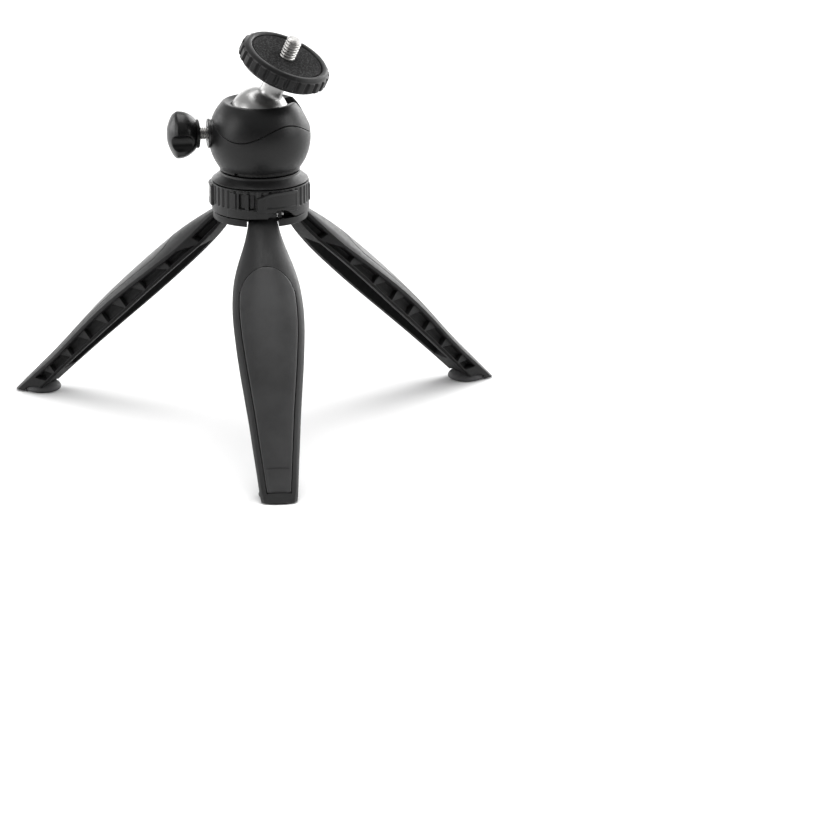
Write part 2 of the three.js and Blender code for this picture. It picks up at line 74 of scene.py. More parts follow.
SCOOPS = [-12, 108, 228]
NOTCH_AZ, NOTCH_W = 93.7, 10.0
LEAN_AZ, LEAN = 57.2, 26.4
HALF_W = [[0, 5.7], [5, 5.9], [8, 6.5], [11, 7.1], [14.6, 8.1], [18.5, 9.35], [22.3, 10.65], [26.2, 11.8],
          [30, 12.75], [33.8, 13.4], [37.7, 13.85], [41.6, 14.15], [45.4, 14.35], [49.3, 14.4], [53.1, 14.3], [57, 14.15],
          [60.8, 13.9], [64.6, 13.6], [72.3, 12.95], [80, 12.15], [87.7, 11.35], [95.4, 10.55], [103.1, 9.9], [110.8, 9.25],
          [118.5, 8.55], [126.2, 7.95], [131.5, 7.45], [134.3, 7.2], [137.5, 6.3]]
CREST = [[0, 0.9], [3, 1.5], [5, 2.3], [8, 3.1], [12.3, 3.85], [19.8, 5.15], [26.3, 5.95], [30.3, 6.15],
         [45.8, 6.75], [56.8, 6.95], [68.8, 6.95], [79.3, 6.7], [89.8, 6.05], [100.8, 5.25], [110.8, 4.75], [121.8, 4.55],
         [133.8, 4.25], [137.5, 4.1]]
DROP = [[0, 0.6], [8, 1.8], [12, 2.7], [20, 4.8], [28, 6.0], [47, 5.2], [67, 3.9], [90, 2.9], [110, 2.3], [125, 1.6], [137.5, 0.9]]
UNDER = [[0, -3.7], [5, -4.0], [12.3, -5.2], [18.5, -5.6], [35, -5.6], [51, -5.4], [64.6, -5.15],
         [80, -4.7], [95.4, -4.3], [110.8, -4.1], [126.2, -4.1], [137.5, -4.1]]


def eased(table, sigma=2.2):
    """A smooth function through a table of [x, y], evened out over a few millimetres."""
    x = np.array([p[0] for p in table], float)
    y = np.array([p[1] for p in table], float)
    q = np.arange(x[0] - 12, x[-1] + 12.01, 0.25)
    v = np.interp(q, x, y)
    lo, hi = q < x[0], q > x[-1]
    v[lo] = y[0] + (q[lo] - x[0]) * (y[1] - y[0]) / (x[1] - x[0])
    v[hi] = y[-1] + (q[hi] - x[-1]) * (y[-1] - y[-2]) / (x[-1] - x[-2])
    k = np.arange(-36, 37) * 0.25
    w = np.exp(-0.5 * (k / sigma) ** 2)
    w /= w.sum()
    v = np.convolve(np.pad(v, 36, mode="edge"), w, mode="valid")
    return lambda s: np.interp(s, q, v)


half_w, crest, edge_drop, under = eased(HALF_W), eased(CREST), eased(DROP), eased(UNDER)


def step(a, b, x):
    t = np.clip((x - a) / (b - a), 0, 1)
    return t * t * (3 - 2 * t)


def smooth_min(a, b, k):
    h = np.clip(0.5 + 0.5 * (b - a) / k, 0, 1)
    return b + (a - b) * h - k * h * (1 - h)


# ------------------------------------------------------------------ placing
TO_FRAME = Matrix.Translation((0, AXIS_Y, 0))


def rot_z(a):
    return Matrix.Rotation(a * D, 4, "Z")


def leg_matrix(az):
    c, s = math.cos(LEG_DROP * D), math.sin(LEG_DROP * D)
    m = Matrix(((0, 1, 0, 0), (-c, 0, -s, -HINGE_R), (-s, 0, c, HINGE_Z), (0, 0, 0, 1)))
    return TO_FRAME @ rot_z(az) @ m


def outwards(az, z):
    return TO_FRAME @ Matrix.Translation((0, 0, z)) @ rot_z(az) @ Matrix.Rotation(PI / 2, 4, "X")


LEAN_M = TO_FRAME @ Matrix.Translation((0, 0, BALL_Z)) @ rot_z(LEAN_AZ) @ Matrix.Rotation(LEAN * D, 4, "X")
KNOB_M = outwards(KNOB_AZ, KNOB_Z)


# ------------------------------------------------------------------ meshes
def raw(name, verts, faces, merge=1e-5):
    me = bpy.data.meshes.new(name)
    me.from_pydata(np.asarray(verts, float).tolist(), [], faces)
    bm = bmesh.new()
    bm.from_mesh(me)
    if merge:
        bmesh.ops.remove_doubles(bm, verts=bm.verts, dist=merge)
        bmesh.ops.dissolve_degenerate(bm, dist=1e-6, edges=bm.edges)
    bmesh.ops.recalc_face_normals(bm, faces=bm.faces)
    bm.to_mesh(me)
    bm.free()
    ob = bpy.data.objects.new(name, me)
    bpy.context.scene.collection.objects.link(ob)
    return ob


def loft(name, rings, wrap=False):
    """rings (n, m, 3), each closed; ends are capped unless the rings wrap round."""
    n, m, _ = rings.shape
    idx = np.arange(n * m).reshape(n, m)
    a, b = (idx, np.roll(idx, -1, 0)) if wrap else (idx[:-1], idx[1:])
    faces = np.stack([a, np.roll(a, -1, 1), np.roll(b, -1, 1), b], -1).reshape(-1, 4).tolist()
    if not wrap:
        faces.append(idx[0][::-1].tolist())
        faces.append(idx[-1].tolist())
    return raw(name, rings.reshape(-1, 3), faces)


def filleted(points, n=5):
    """Polyline from (x, y) or (x, y, radius) points, with its corners rounded."""
    p = [tuple(q) + (0,) if len(q) == 2 else tuple(q) for q in points]
    out = []
    for i, (x, y, r) in enumerate(p):
        if r <= 0 or i in (0, len(p) - 1):
            out.append((x, y))
            continue
        c = np.array((x, y), float)
        u, v = np.array(p[i - 1][:2]) - c, np.array(p[i + 1][:2]) - c
        lu, lv = np.linalg.norm(u), np.linalg.norm(v)
        d = min(r, 0.48 * lu, 0.48 * lv)
        a, b = c + u / lu * d, c + v / lv * d
        for t in np.linspace(0, 1, n):
            out.append(tuple((1 - t) ** 2 * a + 2 * t * (1 - t) * c + t * t * b))
    return out


def dense(points, gap):
    out = [points[0]]
    for a, b in zip(points[:-1], points[1:]):
        k = max(1, int(math.ceil(math.dist(a, b) / gap)))
        for i in range(1, k + 1):
            out.append((a[0] + (b[0] - a[0]) * i / k, a[1] + (b[1] - a[1]) * i / k))
    return out


def revolve(name, profile, seg=128, radial=None, closed=False):
    """Profile of (radius, height), turned about Z. closed: the profile is a loop. radial(r, z, a) may change the radius."""
    p = np.array(profile, float)
    ang = np.arange(seg) * 2 * PI / seg
    r = np.repeat(p[:, 0][:, None], seg, 1)
    z = np.repeat(p[:, 1][:, None], seg, 1)
    a = np.repeat(ang[None], len(p), 0)
    if radial:
        r = radial(r, z, a / D)
    # azimuth 0 looks to -Y
    v = np.stack([r * np.sin(a), -r * np.cos(a), z], -1)
    n, m = r.shape
    idx = np.arange(n * m).reshape(n, m)
    top, bot = (idx, np.roll(idx, -1, 0)) if closed else (idx[:-1], idx[1:])
    faces = np.stack([top, np.roll(top, -1, 1), np.roll(bot, -1, 1), bot], -1).reshape(-1, 4).tolist()
    return raw(name, v.reshape(-1, 3), faces)


def arc(r, zc, z0, z1, n):
    a0, a1 = math.asin(max(-1, min(1, (z0 - zc) / r))), math.asin(max(-1, min(1, (z1 - zc) / r)))
    return [(r * math.cos(a0 + (a1 - a0) * i / n), zc + r * math.sin(a0 + (a1 - a0) * i / n)) for i in range(n + 1)]


def box(x0, x1, y0, y1, z0, z1):
    v = [(x, y, z) for x in (x0, x1) for y in (y0, y1) for z in (z0, z1)]
    f = [[0, 1, 3, 2], [4, 6, 7, 5], [0, 4, 5, 1], [2, 3, 7, 6], [0, 2, 6, 4], [1, 5, 7, 3]]
    return raw("tool", v, f)


def placed(ob, m):
    """Moves the mesh's own points."""
    ob.data.transform(m)
    return ob


def combine(ob, tools, op="DIFFERENCE"):
    """Cuts or joins closed meshes and drops the tools."""
    for tool in tools:
        for solver in ("MANIFOLD", "EXACT"):
            m = ob.modifiers.new("bool", "BOOLEAN")
            m.operation = op
            m.object = tool
            try:
                m.solver = solver
            except TypeError:
                ob.modifiers.clear()
                continue
            dg = bpy.context.evaluated_depsgraph_get()
            me = bpy.data.meshes.new_from_object(ob.evaluated_get(dg))
            ob.modifiers.clear()
            same = len(me.vertices) == len(ob.data.vertices)
            if len(me.vertices) > 0 and not same:
                ob.data = me
                break
        bpy.data.objects.remove(tool)
    return ob


def finished(ob, name, material, body, nodes, matrix=None, sharp=34, bake=False):
    """Scales to metres, smooths, dresses and hands the piece to the frame. bake: the points themselves take the placing."""
    me = ob.data
    if bake:
        me.transform(matrix)
        matrix = None
    me.transform(Matrix.Diagonal((MM, MM, MM, 1)))
    ob.name = name
    me.name = name
    me.materials.clear()
    me.materials.append(material)
    me.polygons.foreach_set("use_smooth", [True] * len(me.polygons))
    me.set_sharp_from_angle(angle=sharp * D)
    if matrix is not None:
        m = matrix.copy()
        m.translation = m.translation * MM
        ob.matrix_world = m
    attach(ob, body)
    if nodes:
        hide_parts(*nodes)
    return ob


# ------------------------------------------------------------------ materials
class Skin:
    """A Principled material with small helpers for its node tree."""

    def __init__(self, name, **sockets):
        self.mat = bpy.data.materials.new(name)
        self.mat.use_nodes = True
        self.t = self.mat.node_tree
        self.t.nodes.clear()
        self.out = self.t.nodes.new("ShaderNodeOutputMaterial")
        self.b = self.t.nodes.new("ShaderNodeBsdfPrincipled")
        self.t.links.new(self.b.outputs[0], self.out.inputs["Surface"])
        for k, v in sockets.items():
            self.b.inputs[k.replace("_", " ")].default_value = v
        self.co = self.t.nodes.new("ShaderNodeTexCoord").outputs["Object"]

    def node(self, kind, **props):
        n = self.t.nodes.new(kind)
        for k, v in props.items():
            setattr(n, k, v)
        return n

    def link(self, a, b):
        self.t.links.new(a, b)

    def stretch(self, scale, source=None):
        n = self.node("ShaderNodeMapping")
        n.inputs["Scale"].default_value = scale
        self.link(source or self.co, n.inputs["Vector"])
        return n.outputs[0]

    def noise(self, scale, detail=3.0, rough=0.5, vector=None, distortion=0.0):
        n = self.node("ShaderNodeTexNoise")
        n.inputs["Scale"].default_value = scale
        n.inputs["Detail"].default_value = detail
        n.inputs["Roughness"].default_value = rough
        n.inputs["Distortion"].default_value = distortion
        self.link(vector or self.co, n.inputs["Vector"])
        return n.outputs[0]

    def voronoi(self, scale, feature="F1", vector=None):
        n = self.node("ShaderNodeTexVoronoi", feature=feature)
        n.inputs["Scale"].default_value = scale
        self.link(vector or self.co, n.inputs["Vector"])
        return n.outputs["Distance"]

    def ramp(self, value, a, b, lo=0.0, hi=1.0):
        n = self.node("ShaderNodeMapRange")
        n.interpolation_type = "SMOOTHSTEP"
        self.link(value, n.inputs["Value"])
        n.inputs["From Min"].default_value = a
        n.inputs["From Max"].default_value = b
        n.inputs["To Min"].default_value = lo
        n.inputs["To Max"].default_value = hi
        return n.outputs[0]

    def math(self, op, a, b=None):
        n = self.node("ShaderNodeMath", operation=op)
        for i, v in enumerate((a, b)):
            if v is None:
                continue
            if isinstance(v, (int, float)):
                n.inputs[i].default_value = v
            else:
                self.link(v, n.inputs[i])
        return n.outputs[0]

    def mix(self, factor, a, b):
        n = self.node("ShaderNodeMix", data_type="RGBA")
        self.link(factor, n.inputs[0])
        for sock, v in ((n.inputs[6], a), (n.inputs[7], b)):
            if isinstance(v, tuple):
                sock.default_value = (*v, 1) if len(v) == 3 else v
            else:
                self.link(v, sock)
        return n.outputs[2]

    def colour(self, value):
        self.link(value, self.b.inputs["Base Color"])

    def rough(self, value):
        self.link(value, self.b.inputs["Roughness"])

    def bump(self, height, distance, strength=1.0, chain=None):
        n = self.node("ShaderNodeBump")
        n.inputs["Distance"].default_value = distance
        n.inputs["Strength"].default_value = strength
        self.link(height, n.inputs["Height"])
        if chain is not None:
            self.link(chain, n.inputs["Normal"])
        return n.outputs[0]

    def normal(self, value):
        self.link(value, self.b.inputs["Normal"])

    def edges(self, a=0.512, b=0.57):
        g = self.node("ShaderNodeNewGeometry")
        return self.ramp(g.outputs["Pointiness"], a, b)


def grey(v, tint=(1.0, 1.0, 1.02)):
    return tuple(v * t for t in tint)


def moulded(name, base, rough, spec=0.35, grain=3800, depth=1.6e-5, wear_and_edge_highlight=0.35, vary=0.22, streak=None, painted_shade=False):
    """Black moulded plastic: spark-eroded grain, uneven sheen, faint scuffs, paler convex edges that are partly rubbed
    wear and partly a painted edge highlight, and, where asked, painted shade on the leg's marked underside, flank and
    pockets.
    """
    s = Skin(name, Specular_IOR_Level=spec)
    cloud = s.noise(55, 3, 0.55)
    fine = s.noise(grain, 2, 0.6)
    mid = s.noise(700, 3, 0.6)
    dark, pale = grey(base * (1 - vary)), grey(base * (1 + vary))
    col = s.mix(s.ramp(cloud, 0.3, 0.7), dark, pale)
    col = s.mix(s.ramp(fine, 0.42, 0.72, 0, 0.35), col, grey(base * 1.9))
    scuff = s.ramp(s.noise(260, 6, 0.7, s.stretch((1, 7, 3)), 0.4), 0.62, 0.78, 0, 0.30)
    col = s.mix(scuff, col, grey(base * 2.1))
    # paler convex edges: partly rubbed wear, partly a painted edge highlight
    edge = s.math("MULTIPLY", s.edges(), wear_and_edge_highlight)
    col = s.mix(edge, col, grey(base * 3.2))
    r = s.math("ADD", s.ramp(mid, 0.25, 0.75, rough - 0.06, rough + 0.07), s.ramp(cloud, 0.2, 0.8, -0.03, 0.04))
    if painted_shade:
        # painted shade: where the attribute is set, the underside, flank, pockets and trough are darkened to a few
        # percent of the base colour
        at = s.node("ShaderNodeAttribute", attribute_name="painted_shade")
        col = s.mix(at.outputs["Fac"], col, s.mix(s.ramp(fine, 0.3, 0.7), grey(base * 0.06), grey(base * 0.14)))
        r = s.math("ADD", r, s.math("MULTIPLY", at.outputs["Fac"], 0.35))
    s.colour(col)
    if streak:
        r = s.math("ADD", r, s.ramp(s.noise(60, 4, 0.6, s.stretch(streak)), 0.3, 0.7, -0.04, 0.05))
    s.rough(r)
    n = s.bump(fine, depth, 0.9)
    n = s.bump(mid, depth * 1.4, 0.35, n)
    s.normal(n)
    return s.mat


def rubber(name, base, rough, grain=2600, depth=4e-5, spec=0.2, speck=0.0):
    s = Skin(name, Specular_IOR_Level=spec)
    cloud, fine = s.noise(90, 4, 0.6), s.noise(grain, 3, 0.6)
    pit = s.voronoi(grain * 0.55)
    col = s.mix(s.ramp(cloud, 0.3, 0.7), grey(base * 0.75), grey(base * 1.35))
    col = s.mix(s.ramp(fine, 0.5, 0.75, 0, 0.5), col, grey(base * 2.4))
    if speck:
        col = s.mix(s.ramp(s.noise(1700, 2, 0.5), 0.48, 0.62, 0, 1), col, grey(speck))
    dust = s.ramp(s.noise(420, 6, 0.75), 0.6, 0.8, 0, 0.25)
    col = s.mix(dust, col, grey(base * 3.0))
    s.colour(col)
    s.rough(s.ramp(fine, 0.3, 0.7, rough - 0.08, rough + 0.08))
    n = s.bump(fine, depth, 0.8)
    n = s.bump(pit, depth, 0.5, n)
    s.normal(n)
    return s.mat


def gloss(name, base, rough, spec=0.5):
    """Semi-gloss knob plastic with fine handling marks and a painted highlight along its convex edges."""
    s = Skin(name, Specular_IOR_Level=spec, Coat_Weight=0.15, Coat_Roughness=0.18)
    cloud, hair = s.noise(70, 3, 0.5), s.noise(900, 4, 0.7, s.stretch((1, 1, 9)), 1.0)
    fine = s.noise(3000, 2, 0.5)
    col = s.mix(s.ramp(cloud, 0.3, 0.7), grey(base * 0.8), grey(base * 1.3))
    # painted highlight: convex edges are lightened toward five times the base colour
    col = s.mix(s.math("MULTIPLY", s.edges(), 0.5), col, grey(base * 5))
    s.colour(col)
    s.rough(s.math("ADD", s.ramp(hair, 0.35, 0.7, rough - 0.05, rough + 0.1), s.ramp(cloud, 0.3, 0.7, -0.02, 0.04)))
    n = s.bump(fine, 6e-6, 0.6)
    n = s.bump(hair, 6e-6, 0.35, n)
    s.normal(n)
    return s.mat


def metal(name, base, rough, turned=(30, 30, 5200), depth=3e-6, warm=(1.0, 0.995, 0.985), vary=0.06):
    """Satin metal with turning marks round the local Z axis."""
    s = Skin(name, Metallic=1.0)
    marks = s.noise(1.0, 3, 0.65, s.stretch(turned))
    cloud, fine = s.noise(120, 4, 0.6), s.noise(4200, 2, 0.6)
    a, b = tuple(base * (1 - vary) * w for w in warm), tuple(base * (1 + vary) * w for w in warm)
    col = s.mix(s.ramp(marks, 0.3, 0.7), a, b)
    col = s.mix(s.ramp(cloud, 0.55, 0.8, 0, 0.35), col, tuple(base * 0.82 * w for w in warm))
    s.colour(col)
    s.rough(s.math("ADD", s.ramp(marks, 0.25, 0.75, rough - 0.05, rough + 0.07), s.ramp(cloud, 0.3, 0.7, -0.03, 0.05)))
    n = s.bump(marks, depth, 0.7)
    n = s.bump(fine, depth, 0.4, n)
    s.normal(n)
    return s.mat


# the leg's base colour is set darker than the panel's as painted shade for the ring's shadow over the leg's neck
LEG_SKIN = moulded("leg_plastic", 0.012, 0.42, spec=0.28, grain=3600, wear_and_edge_highlight=0.25, painted_shade=True)
PANEL_SKIN = moulded("panel_plastic", 0.024, 0.38, spec=0.33, grain=5200, depth=1.1e-5, wear_and_edge_highlight=0.15)
RING_SKIN = moulded("ring_plastic", 0.008, 0.36, spec=0.34, grain=4200, wear_and_edge_highlight=0.60)
# the hub's very dark base colour is painted shade, so the hub seen through the ring's arches reads dark
HUB_SKIN = moulded("hub_plastic", 0.006, 0.42, spec=0.25, wear_and_edge_highlight=0.30)
SHELL_SKIN = moulded("shell_plastic", 0.008, 0.36, spec=0.27, grain=4600, depth=1.2e-5, wear_and_edge_highlight=0.25)
PLATE_SKIN = moulded("plate_plastic", 0.007, 0.42, spec=0.22, grain=4200, wear_and_edge_highlight=0.45)
INNER_SKIN = moulded("inner_plastic", 0.006, 0.60)
KNOB_SKIN = gloss("knob_plastic", 0.002, 0.32, spec=0.22)
BOSS_SKIN = gloss("boss_plastic", 0.004, 0.30)
PAD_SKIN = rubber("pad_rubber", 0.003, 0.80, grain=1900, depth=9e-5, speck=0.028)
FOOT_SKIN = rubber("foot_rubber", 0.060, 0.62, grain=3000, depth=2e-5)
BALL_SKIN = metal("ball_metal", 0.37, 0.35, turned=(60, 60, 2600), depth=5e-7, vary=0.035)
STEEL_SKIN = metal("screw_steel", 0.38, 0.34, turned=(400, 400, 900), warm=(1.0, 0.985, 0.96), vary=0.10)
PIN_SKIN = metal("pin_steel", 0.45, 0.36, turned=(60, 60, 3000))


# ------------------------------------------------------------------ legs
def crown(s, v):
    return crest(s) - edge_drop(s) * v * v - 0.5 * np.maximum(0, (np.abs(v) - 0.86) / 0.14) ** 2


def sector_off(t):
    return (t + 0.8) / math.tan(60 * D) - HINGE_R


RIBS = [22.0, 36.0, 50.7, 63.6, 75.6, 88.3, 101.2, 113.9]
# each pocket: start at the bottom, start at the top, end at the bottom, end at the top
POCKETS = [(7.6, 7.4, 18.6, 19.6), (20.6, 28.0, 34.6, 35.3)]
for i in range(1, len(RIBS) - 1):
    POCKETS.append((RIBS[i] + 0.15, RIBS[i] + 4.3, RIBS[i + 1] - 0.75, RIBS[i + 1] - 0.45))
POCKETS.append((114.4, 117.6, 119.6, 122.6))


def flank_low(s):
    hw = half_w(s)
    return np.maximum(under(s) + 0.45, np.minimum(sector_off(hw - 0.6), crown(s, 1.0) - 1.2))


def flank_window(s):
    top = crown(s, 1.0) - 1.45
    low = np.maximum(under(s) + 0.45, sector_off(half_w(s) - 0.6)) + 1.3
    return low, top


def inside(poly, x, y):
    """Distance inside a convex polygon given clockwise or not, positive inside."""
    p = np.array(poly, float)
    area = 0.5 * np.sum(p[:, 0] * np.roll(p[:, 1], -1) - np.roll(p[:, 0], -1) * p[:, 1])
    if area < 0:
        p = p[::-1]
    d = np.full(x.shape, 1e9)
    for (x0, y0), (x1, y1) in zip(p, np.roll(p, -1, 0)):
        l = math.hypot(x1 - x0, y1 - y0)
        d = np.minimum(d, ((x1 - x0) * (y - y0) - (y1 - y0) * (x - x0)) / l)
    return d


def pocket_depth(s, off):
    """How far the flank is hollowed at (s, off)."""
    out = np.zeros(s.shape)
    for i, (a, a2, b, b2) in enumerate(POCKETS):
        (l0, u0), (l1, u1) = flank_window(a + 1.0), flank_window(b - 1.0)
        lo0, lo1 = min(l0, u0 - 1.6) - 0.7, min(l1, u1 - 1.6) - 0.7
        d = inside([(a, lo0), (b, lo1), (b2, u1 + 0.2), (a2, u0 + 0.2)], s, off)
        depth = min(3.0, min(half_w(a), half_w(b)) - 3.2)
        along = np.clip((s - a) / (b - a), 0, 1)
        low = np.interp(s, [a, b], [lo0, lo1])
        high = np.interp(s, [a, b], [u0, u1])
        up = np.clip((off - low) / np.maximum(high - low, 0.3), 0, 1)
        if i == 0:
            ramp = 1.0
        else:
            ramp = (0.75 + 0.25 * along) * (0.6 + 0.4 * step(0.0, 0.7, up))
        out = np.maximum(out, depth * ramp * step(-0.12, 0.55, d))
    # the ribs between the pockets lean back under the rim
    low, high = flank_window(s)
    low = np.minimum(low, high - 1.6) - 0.7
    up = np.clip((off - low) / (high + 0.2 - low), 0, 1)
    lean = 1.1 * up * step(-0.1, 0.35, high + 0.2 - off) * step(33.5, 34.5, s) * (1 - step(118.0, 120.0, s)) * (off > low)
    return np.maximum(out, lean)


def panel_half(s, grow=0.0):
    grow = grow * (0.3 + 0.7 * step(PANEL_TOP + 9.0, PANEL_TOP + 11.0, s))
    s0 = PANEL_TOP - grow
    a = np.clip((s - s0) / 9.4, 0, 1)
    arch = np.sqrt(np.maximum(0, 1 - (1 - a) ** 2.1)) * (0.955 + 0.045 * step(PANEL_TOP + 9.0, PANEL_TOP + 9.6, s))
    return np.maximum(0.0, (half_w(s) - PANEL_IN + grow) * arch)


def leg_rings(deeper=0.0, plain=False):
    """Cross-sections of the leg in (along, across, out) coordinates."""
    if plain:
        ss = np.arange(95, LEG_END + 0.01, 1.5)
    else:
        near = PANEL_TOP - 0.3
        ss = np.unique(np.round(np.concatenate([
            np.arange(0, LEG_END, 0.42), [LEG_END], near + np.array([0, 0.02, 0.1, 0.25, 0.45, 0.7, 1.0]),
            PANEL_S1 + 0.3 + np.array([-0.4, -0.2, -0.05, 0.0, 0.02])]), 3))
    ss = ss[(ss >= 0) & (ss <= LEG_END)]
    rows = []
    for s in ss:
        hw, low = float(half_w(s)), float(under(s)) - deeper
        flank = hw - 0.6
        top = float(crown(s, 1.0))
        knee = max(low + 0.45, min(sector_off(flank), top - 1.2))
        foot = max(3.0, min(flank - 0.5, (low + HINGE_R) * math.tan(60 * D) - 0.8))
        on = (not plain) and PANEL_TOP - 0.3 < s <= PANEL_S1 + 0.3
        pr = float(panel_half(s, 0.3)) if on else 0.0
        pr = max(pr, 0.03)
        rec = PANEL_T + 0.3 if on else 0.0
        sunk = 2.6 if plain else 0.0
        t, o = [], []
        for k in range(9):
            t.append(pr * k / 8)
            o.append(float(crown(s, t[-1] / hw)) - rec)
        edge = float(crown(s, pr / hw))
        t += [pr, pr, pr + 0.05, pr + 0.16]
        o += [edge - rec * 0.5, edge - 0.16 * (rec > 0), edge - 0.05 * (rec > 0), float(crown(s, (pr + 0.16) / hw))]
        for k in range(1, 11):
            x = pr + 0.16 + (hw - pr - 0.16) * k / 10
            t.append(x)
            o.append(float(crown(s, x / hw)))
        t += [hw - 0.01, hw - 0.03]
        o += [top - 0.22, top - 0.45]
        nf = 5 if plain else 26
        fo = np.linspace(top - 0.7, knee, nf)
        ft = np.linspace(hw - 0.05, flank, nf)
        if not plain:
            ft = ft - pocket_depth(np.full(nf, s), fo)
        t += ft.tolist()
        o += fo.tolist()
        # rounded knee, the sector face and the underside with its trough
        for k in (0.04, 0.12, 0.3, 0.5, 0.7, 0.88, 0.96, 1.0):
            t.append(flank + (foot - flank) * k - (0.12 if k in (0.04, 0.96) else 0.0))
            o.append(knee + (low - knee) * k + (0.05 if k == 0.96 else 0.0))
        deep = 0.0 if plain else 4.6 * float(step(21.6, 23.0, np.array(s)) * (1 - step(109.6, 111.0, np.array(s))))
        tw = min(foot - 0.8, max(2.6, flank - 4.1))
        t += [(foot + tw) / 2, tw + 0.25, tw + 0.05, tw, tw * 0.5, 0.0]
        o += [low, low, low + min(deep, 0.2), low + deep, low + deep, low + deep]
        t, o = np.array(t), np.array(o)
        o = np.where(o > knee, o - sunk * step(knee, top, o), o)
        ring_t = np.concatenate([t, -t[1:-1][::-1]])
        ring_o = np.concatenate([o, o[1:-1][::-1]])
        rows.append(np.stack([np.full(len(ring_t), s), ring_t, ring_o], -1))
    return np.array(rows)


def leg_local(ob):
    """Takes a tool given in the front leg's row frame into the leg's own coordinates."""
    m = leg_matrix(0).inverted()
    ob.data.transform(m)
    return ob


def make_leg():
    ob = loft("leg", leg_rings())
    barrel = filleted([(0, -KNUCKLE_HW), (KNUCKLE_R - 0.7, -KNUCKLE_HW, 0.5), (KNUCKLE_R - 0.4, -4), (KNUCKLE_R - 0.1, -2),
                       (KNUCKLE_R - 0.1, 2), (KNUCKLE_R - 0.4, 4), (KNUCKLE_R - 0.7, KNUCKLE_HW, 0.5), (0, KNUCKLE_HW)])
    knuckle = placed(revolve("tool", barrel, 64), Matrix.Rotation(PI / 2, 4, "X"))
    socket = revolve("tool", [(0, 3.9), (5.2, 3.9), (6.0, 4.3), (6.6, 7.2), (0, 7.2)], 72)
    socket = leg_local(placed(socket, Matrix.Translation((0, AXIS_Y - FOOT_R, 0))))
    shell = loft("tool2", leg_rings(6.0, True))
    combine(socket, [shell], "INTERSECT")
    combine(ob, [knuckle, socket], "UNION")
    hole = placed(revolve("tool", [(0, -15), (PIN_R + 0.3, -15), (PIN_R + 0.3, 15), (0, 15)], 40), Matrix.Rotation(PI / 2, 4, "X"))
    room = revolve("tool", [(0, -2), (FOOT_PAD_R + 0.35, -2), (FOOT_PAD_R + 0.35, 1.75), (7.75, 2.95), (5.7, 4.05), (3.3, 4.5), (3.3, 5.9), (0, 5.9)], 96)
    room = leg_local(placed(room, Matrix.Translation((0, AXIS_Y - FOOT_R, 0))))
    floor_cut = leg_local(placed(box(-30, 30, -140, -80, -20, 0.6), Matrix.Translation((0, AXIS_Y, 0))))
    combine(ob, [hole, room, floor_cut])
    shade(ob)
    return ob


def shade(ob):
    """Paints shade: marks the underside, pocket interiors, the flank under the rim and the trough (up to 1) against the
    lit outer skin (0), for the material to darken.
    """
    me = ob.data
    co = np.zeros(len(me.vertices) * 3)
    me.vertices.foreach_get("co", co)
    s, t, off = co.reshape(-1, 3).T
    hw = half_w(np.clip(s, 0, LEG_END))
    low, high = flank_window(np.clip(s, 0, LEG_END))
    low = np.minimum(low, high - 1.6) - 0.7
    # masks of painted shade: underside, pocket interiors, flank under the rim, trough
    below = 1 - step(low - 0.5, low + 0.2, off)
    deep = step(0.5, 1.6, hw - 0.6 - np.abs(t)) * (1 - step(high - 0.1, high + 0.4, off))
    flank = 0.4 * (1 - step(high + 0.7, high + 1.4, off))
    hollow = (np.abs(t) < hw - 4.4) & (off < 1.4)
    v = np.maximum(np.maximum(np.maximum(below, 0.8 * deep), flank), hollow)
    # the painted shade is halved towards the leg's tip
    v = v * (1 - step(127, 131, s) * 0.5)
    at = me.attributes.new("painted_shade", "FLOAT", "POINT")
    at.data.foreach_set("value", v.astype(np.float32))


PROUD = 0.1


def make_panel():
    s0, s1 = PANEL_TOP, PANEL_S1
    ss = np.concatenate([s0 + np.array([0.015, 0.06, 0.15, 0.3, 0.5, 0.8, 1.2, 1.7, 2.3, 3.0, 3.8, 4.7, 5.7, 6.8, 8, 9.3]),
                         np.arange(s0 + 10.5, 118.6, 1.1), np.arange(119.0, 121.0, 0.12), np.arange(121.4, s1 - 0.5, 1.0),
                         s1 - np.array([0.45, 0.28, 0.14, 0.05, 0.0])])
    rows = []
    for s in ss:
        p = float(panel_half(s)) - 0.9 * (1 - math.sqrt(max(0, 1 - max(0, (s - (s1 - 0.9)) / 0.9) ** 2)))
        hw = float(half_w(s))
        end = 0.22 * max(0, 1 - (s1 - s) / 0.45) ** 2 + 0.2 * max(0, 1 - (s - s0) / 0.8) ** 2
        rr = min(0.28, p * 0.4)
        t, o = [], []
        for k in range(15):
            x = (p - rr) * k / 14
            patch = 0.14 * float(step(119.5, 120.2, np.array(s))) * (1 - float(step(p - 1.25, p - 0.85, np.array(x))))
            t.append(x)
            o.append(float(crown(s, x / hw)) + PROUD - end - patch)
        for a in (30, 60, 90):
            x = p - rr + rr * math.sin(a * D)
            t.append(x)
            o.append(float(crown(s, x / hw)) + PROUD - end - rr * (1 - math.cos(a * D)))
        t += [p, p - 0.05, 0.0]
        o += [float(crown(s, p / hw)) - 0.9, float(crown(s, p / hw)) - 1.3, float(crown(s, 0.0)) - 1.3]
        t, o = np.array(t), np.array(o)
        rows.append(np.stack([np.full(2 * len(t) - 2, s), np.concatenate([t, -t[1:-1][::-1]]), np.concatenate([o, o[1:-1][::-1]])], -1))
    return loft("panel", np.array(rows))


